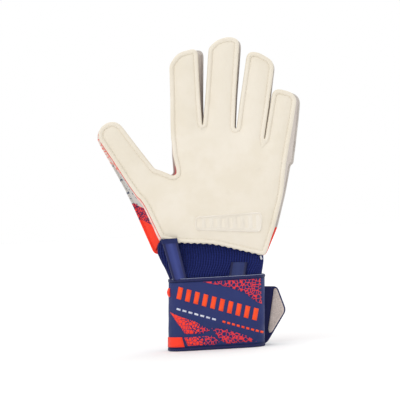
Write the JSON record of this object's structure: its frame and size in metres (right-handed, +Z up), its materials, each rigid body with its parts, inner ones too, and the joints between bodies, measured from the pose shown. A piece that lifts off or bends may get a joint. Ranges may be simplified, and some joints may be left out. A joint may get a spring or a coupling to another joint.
{
  "type": "goalkeeper glove",
  "caption": "Padded left-hand ball-catching glove, flat cut, with a foam palm, mesh gussets, a knitted cuff and a wide hook-and-loop wrist strap.",
  "frame": {"origin": "centre of the wrist opening, in the plane of the strap's lower rim", "axes": "+Z runs up from the wrist to the fingertips, the palm faces -Y, the back of the hand faces +Y and the thumb points to -X"},
  "size_m": [0.1853, 0.0387, 0.2798],
  "materials": {
    "latex_foam": "fine matte latex foam, cream",
    "back_foam": "embossed foam panel, orange, grey and navy print",
    "gusset_mesh": "light grey air mesh",
    "lining": "smooth knitted lining",
    "cuff_knit": "ribbed elastic knit, navy",
    "strap_web": "smooth elastic webbing, navy with an orange print",
    "binding": "glossy woven tape, navy",
    "printed_tab": "soft moulded tab, orange",
    "loop_pile": "loop pile",
    "hook_pile": "hook tape, grey"
  },
  "bodies": {
    "hand": {"palm_latex": "latex_foam", "backhand_panel": "back_foam", "palm_lining": "lining", "backhand_lining": "lining", "heel_patch": "latex_foam", "index_middle_gusset": "gusset_mesh", "middle_ring_gusset": "gusset_mesh", "ring_little_gusset": "gusset_mesh", "little_side_gusset": "gusset_mesh", "thumb_side_gusset": "gusset_mesh", "crotch_gusset": "gusset_mesh", "elastic_cuff": "cuff_knit", "wrist_strap": "strap_web", "strap_lower_binding": "binding", "strap_upper_binding": "binding", "strap_tab": "printed_tab", "loop_patch": "loop_pile", "pull_on_loop": "binding", "cuff_tab": "binding"},
    "flap": {"closure_flap": "strap_web", "hook_patch": "hook_pile"},
    "index_lower": {"index_lower_latex": "latex_foam", "index_lower_back": "back_foam", "index_lower_gusset": "gusset_mesh"},
    "index_upper": {"index_upper_latex": "latex_foam", "index_upper_back": "back_foam", "index_upper_gusset": "gusset_mesh"},
    "middle_lower": {"middle_lower_latex": "latex_foam", "middle_lower_back": "back_foam", "middle_lower_gusset": "gusset_mesh"},
    "middle_upper": {"middle_upper_latex": "latex_foam", "middle_upper_back": "back_foam", "middle_upper_gusset": "gusset_mesh"},
    "ring_lower": {"ring_lower_latex": "latex_foam", "ring_lower_back": "back_foam", "ring_lower_gusset": "gusset_mesh"},
    "ring_upper": {"ring_upper_latex": "latex_foam", "ring_upper_back": "back_foam", "ring_upper_gusset": "gusset_mesh"},
    "little_lower": {"little_lower_latex": "latex_foam", "little_lower_back": "back_foam", "little_lower_gusset": "gusset_mesh"},
    "little_upper": {"little_upper_latex": "latex_foam", "little_upper_back": "back_foam", "little_upper_gusset": "gusset_mesh"},
    "thumb_lower": {"thumb_lower_latex": "latex_foam", "thumb_lower_back": "back_foam", "thumb_lower_gusset": "gusset_mesh"},
    "thumb_upper": {"thumb_upper_latex": "latex_foam", "thumb_upper_back": "back_foam", "thumb_upper_gusset": "gusset_mesh"}
  },
  "joints": [
    {"name": "index_knuckle", "type": "hinge", "parent": "hand", "child": "index_lower", "pos_m": [-0.01563, -0.006, 0.215], "axis": [0.9999, 0, -0.014], "range_deg": [0, 50], "stiffness_Nm_per_rad": 0.06},
    {"name": "index_middle_joint", "type": "hinge", "parent": "index_lower", "child": "index_upper", "pos_m": [-0.01525, -0.006, 0.242], "axis": [0.9999, 0, -0.014], "range_deg": [0, 60], "stiffness_Nm_per_rad": 0.03},
    {"name": "middle_knuckle", "type": "hinge", "parent": "hand", "child": "middle_lower", "pos_m": [0.01494, -0.006, 0.21401], "axis": [0.9928, 0, -0.1201], "range_deg": [0, 50], "stiffness_Nm_per_rad": 0.06},
    {"name": "middle_middle_joint", "type": "hinge", "parent": "middle_lower", "child": "middle_upper", "pos_m": [0.01879, -0.006, 0.24578], "axis": [0.9928, 0, -0.1201], "range_deg": [0, 60], "stiffness_Nm_per_rad": 0.03},
    {"name": "ring_knuckle", "type": "hinge", "parent": "hand", "child": "ring_lower", "pos_m": [0.04419, -0.006, 0.20668], "axis": [0.9816, 0, -0.1908], "range_deg": [0, 50], "stiffness_Nm_per_rad": 0.06},
    {"name": "ring_middle_joint", "type": "hinge", "parent": "ring_lower", "child": "ring_upper", "pos_m": [0.04953, -0.006, 0.23417], "axis": [0.9816, 0, -0.1908], "range_deg": [0, 60], "stiffness_Nm_per_rad": 0.03},
    {"name": "little_knuckle", "type": "hinge", "parent": "hand", "child": "little_lower", "pos_m": [0.06658, -0.006, 0.19084], "axis": [0.9763, 0, -0.2164], "range_deg": [0, 50], "stiffness_Nm_per_rad": 0.06},
    {"name": "little_middle_joint", "type": "hinge", "parent": "little_lower", "child": "little_upper", "pos_m": [0.07069, -0.006, 0.20939], "axis": [0.9763, 0, -0.2164], "range_deg": [0, 60], "stiffness_Nm_per_rad": 0.03},
    {"name": "thumb_base", "type": "hinge", "parent": "hand", "child": "thumb_lower", "pos_m": [-0.05957, -0.006, 0.16009], "axis": [0.8453, 0, 0.5344], "range_deg": [0, 35], "stiffness_Nm_per_rad": 0.06},
    {"name": "thumb_tip", "type": "hinge", "parent": "thumb_lower", "child": "thumb_upper", "pos_m": [-0.07293, -0.006, 0.18122], "axis": [0.8453, 0, 0.5344], "range_deg": [0, 50], "stiffness_Nm_per_rad": 0.03},
    {"name": "flap_fold", "type": "hinge", "parent": "hand", "child": "flap", "pos_m": [-0.028, 0.01925, 0], "axis": [0.0567, 0, 0.9984], "range_deg": [0, 150]}
  ]
}
